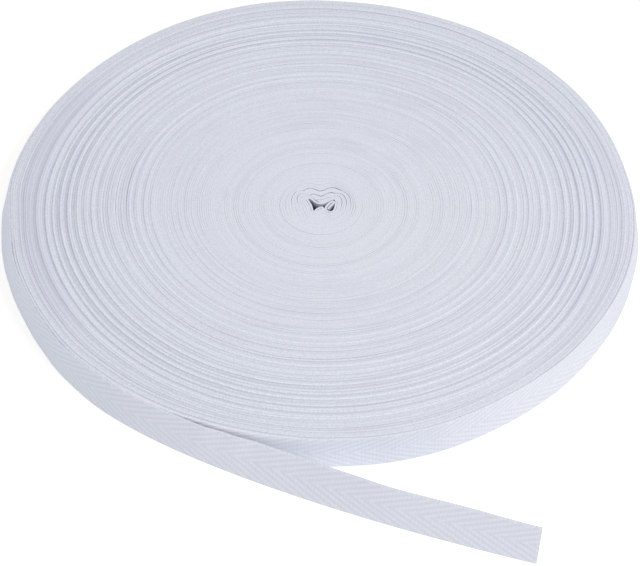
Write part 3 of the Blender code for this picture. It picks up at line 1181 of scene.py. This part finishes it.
@dataclass(frozen=True)
class CottonFinish:
    """Bleached cotton twill with a faint blue cast."""

    # The cloth's own colour; the shadow tone, for painted shade in its pits and grooves and for its dashes;
    # lavender, for its patches and the band near the rim; the deep tone, for painted shade between the turns
    # and in the hole; and the lit tone, for painted light in the gap behind the loose end.
    colour: Colour = (0.775, 0.815, 0.934, 1.0)
    shadow: Colour = (0.645, 0.68, 0.785, 1.0)
    lavender: Colour = (0.706, 0.735, 0.874, 1.0)
    deep: Colour = (0.23, 0.245, 0.295, 1.0)
    lit: Colour = (0.85, 0.875, 0.945, 1.0)
    roughness: float = 0.9
    specular: float = 0.25
    sheen: float = 0.04
    sheen_roughness: float = 0.5
    # How strongly the patches tone the cloth lavender, and how strongly painted shade darkens the pits and
    # the grooves between the twill lines.
    patch_tone: float = 0.45
    pit_shade: float = 0.35
    groove_shade: float = 0.60
    # How strongly the dashes tone the cloth, and by how much more the tape's edges out at the rim. The dashes
    # are partly the threads' own uneven tone and partly painted shade between them.
    dash_grain_and_shade: float = 0.30
    dash_grain_and_shade_gain: float = 0.48
    # The noise at which a dash sets in, and at which it is whole.
    dash_range: Pair = (0.62, 0.35)
    fuzz_depth: float = 0.028 * MM
    dash_depth: float = 0.075 * MM
    line_depth: float = 0.03 * MM
    pit_depth: float = 0.05 * MM

    def material(self, weave: Weave, axis: Array) -> Material:
        """Builds the finish.

        Args:
            weave: The cloth.
            axis: The plan position of the roll's axis.

        Returns:
            The material.
        """
        made = bpy.data.materials.new("cotton_twill")
        made.use_nodes = True
        bench = Bench(made.node_tree)
        place = bench.add("ShaderNodeTexCoord").outputs["Object"]
        cloth_map = bench.add("ShaderNodeUVMap")
        cloth_map.uv_map = "cloth"
        cloth = cloth_map.outputs["UV"]
        shade_map = bench.add("ShaderNodeAttribute")
        shade_map.attribute_name = "shade"
        shade = shade_map.outputs["Fac"]
        twill = bench.place(twill_effect(weave), Cloth=cloth).outputs
        fibre = bench.place(Fibre().effect(), Place=place, Cloth=cloth).outputs
        drift = bench.place(Drift().effect(axis), Place=place).outputs
        face = twill["Face"]
        lines, pits = (bench.sum(Sum.TIMES, twill[name], face) for name in ("Lines", "Pits"))

        patchy = bench.sum(Sum.TIMES, drift["Patches"], self.patch_tone)
        tone = bench.blend(patchy, self.colour, self.lavender)
        # A darker lavender band near the rim, at the left and the right.
        tone = bench.blend(drift["Band"], tone, self.lavender)
        # Painted shade in the pits between the threads and in the grooves between the twill lines.
        tone = bench.blend(bench.sum(Sum.TIMES, pits, self.pit_shade), tone, self.shadow)
        grooves = bench.sum(Sum.TIMES, bench.sum(Sum.TAKE, 1.0, twill["Lines"]), face)
        tone = bench.blend(bench.sum(Sum.TIMES, grooves, self.groove_shade), tone, self.shadow)
        # The dashes: partly the threads' own uneven tone and partly painted shade between them, stronger on
        # the edges out at the rim.
        outward = bench.sum(Sum.LEAST, drift["Outward"], 1.0)
        coarse = bench.sum(Sum.TIMES, outward, bench.sum(Sum.TAKE, 1.0, face))
        strength = bench.sum(Sum.TIMES_ADD, coarse, self.dash_grain_and_shade_gain, self.dash_grain_and_shade)
        dashed = bench.sum(Sum.TIMES, bench.ease(fibre["Dashes"], *self.dash_range), strength)
        tone = bench.blend(dashed, tone, self.shadow)
        # Painted shade deep between the turns, in the hole and on turns that lie below their neighbours.
        # Below 0, painted light in the gap behind the loose end.
        tone = bench.blend(shade, tone, self.deep)
        tone = bench.blend(bench.sum(Sum.TIMES, shade, -1.0), tone, self.lit)

        height = bench.sum(Sum.TIMES, fibre["Fuzz"], self.fuzz_depth)
        height = bench.sum(Sum.TIMES_ADD, fibre["Dashes"], self.dash_depth, height)
        height = bench.sum(Sum.TIMES_ADD, lines, self.line_depth, height)
        height = bench.sum(Sum.TIMES_ADD, pits, -self.pit_depth, height)
        bench.fill_all(
            made.node_tree.nodes["Principled BSDF"],
            Base_Color=tone,
            Normal=bench.add("ShaderNodeBump", Height=height, Distance=1.0).outputs["Normal"],
            Roughness=self.roughness,
            Specular_IOR_Level=self.specular,
            Sheen_Weight=self.sheen,
            Sheen_Roughness=self.sheen_roughness,
        )
        return made


@dataclass(frozen=True)
class Studio:
    """The camera, the soft lights and the pale floor. Angles are in degrees."""

    focus: tuple[float, float, float] = (-0.214 * MM, -25.68 * MM, 0.0)
    distance: float = 909.5 * MM
    elevation: float = 45.94
    tilt: float = 0.77
    lens: float = 151.46
    sensor: float = 36.0
    nearest: float = 0.05
    furthest: float = 30.0
    key_azimuth: float = -36.0
    key_elevation: float = 50.0
    key_distance: float = 1.1
    key_size: float = 0.5
    key_power: float = 4.2
    key_colour: tuple[float, float, float] = (1.0, 0.94, 0.78)
    sky: float = 0.74
    sky_colour: Colour = (1.0, 1.0, 1.0, 1.0)
    floor_size: float = 12.0
    floor_colour: Colour = (0.62, 0.61, 0.60, 1.0)
    floor_roughness: float = 0.8
    floor_glow: float = 0.53
    glow_colour: Colour = (1.0, 0.99, 0.97, 1.0)

    def camera(self, axis: Array) -> None:
        """Places the camera at the photograph's angle.

        Args:
            axis: The plan position of the roll's axis.
        """
        elevation, tilt = math.radians(self.elevation), math.radians(self.tilt)
        back = Vector((0.0, -math.cos(elevation), math.sin(elevation)))
        up = Vector((0.0, math.sin(elevation), math.cos(elevation)))
        right = Vector((1.0, 0.0, 0.0))
        tilted_right = right * math.cos(tilt) + up * math.sin(tilt)
        tilted_up = up * math.cos(tilt) - right * math.sin(tilt)
        lens = bpy.data.cameras.new("camera")
        lens.lens = self.lens
        lens.sensor_width = self.sensor
        lens.clip_start = self.nearest
        lens.clip_end = self.furthest
        camera = stand("camera", lens)
        turned = Matrix((tilted_right, tilted_up, back)).transposed().to_4x4()
        focus = Vector(self.focus) + Vector((axis[0], axis[1], 0.0))
        camera.matrix_world = Matrix.Translation(focus + back * self.distance) @ turned
        bpy.context.scene.camera = camera

    def lights(self) -> None:
        """Lights the roll from all round, and a little more from the right."""
        world = bpy.data.worlds.new("soft_room")
        world.use_nodes = True
        background = world.node_tree.nodes["Background"]
        Bench(world.node_tree).fill_all(background, Color=self.sky_colour, Strength=self.sky)
        bpy.context.scene.world = world
        azimuth, elevation = math.radians(self.key_azimuth), math.radians(self.key_elevation)
        level = Vector((math.cos(azimuth), math.sin(azimuth), 0.0))
        towards = level * math.cos(elevation) + Vector((0.0, 0.0, math.sin(elevation)))
        lamp = bpy.data.lights.new("key", "AREA")
        lamp.shape = "DISK"
        lamp.size = self.key_size
        lamp.energy = self.key_power
        lamp.color = self.key_colour
        key = stand("key", lamp)
        key.location = towards * self.key_distance
        key.rotation_euler = towards.to_track_quat("Z", "Y").to_euler()

    def floor(self) -> None:
        """Lays the pale floor."""
        bpy.ops.object.select_all(action="DESELECT")
        bpy.ops.mesh.primitive_plane_add(size=self.floor_size)
        floor = bpy.context.object
        floor.name = "floor"
        paper = bpy.data.materials.new("pale_floor")
        paper.use_nodes = True
        Bench(paper.node_tree).fill_all(
            paper.node_tree.nodes["Principled BSDF"],
            Base_Color=self.floor_colour,
            Roughness=self.floor_roughness,
            Emission_Color=self.glow_colour,
            Emission_Strength=self.floor_glow,
        )
        floor.data.materials.append(paper)

    def set_up(self, axis: Array) -> None:
        """Sets up the whole studio.

        Args:
            axis: The plan position of the roll's axis.
        """
        self.camera(axis)
        self.lights()
        self.floor()
        bpy.context.scene.view_settings.view_transform = "Standard"


def main() -> None:
    """Builds and dresses the roll, then sets up the studio."""
    logging.basicConfig(level=logging.INFO, format="%(message)s")
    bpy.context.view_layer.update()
    weave, winding = Weave(), Winding()
    end = LooseEnd(winding, weave)
    axis = roll_axis(end)
    LOG.info("the roll's axis is at %.5f, %.5f", *axis)
    cotton = CottonFinish().material(weave, axis)
    turns = Turns(winding, weave, axis)
    wound = turns.build(float(end.arc[-1]), cotton)
    last = end.build(axis, cotton)
    for piece in wound:
        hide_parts("tape_roll")
    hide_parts("loose_end")
    for piece in [*wound, last]:
        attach(piece, BODY)
        LOG.info("%s: %d faces", piece.name, len(piece.data.polygons))
    Studio().set_up(axis)


if __name__ == "__main__":
    main()
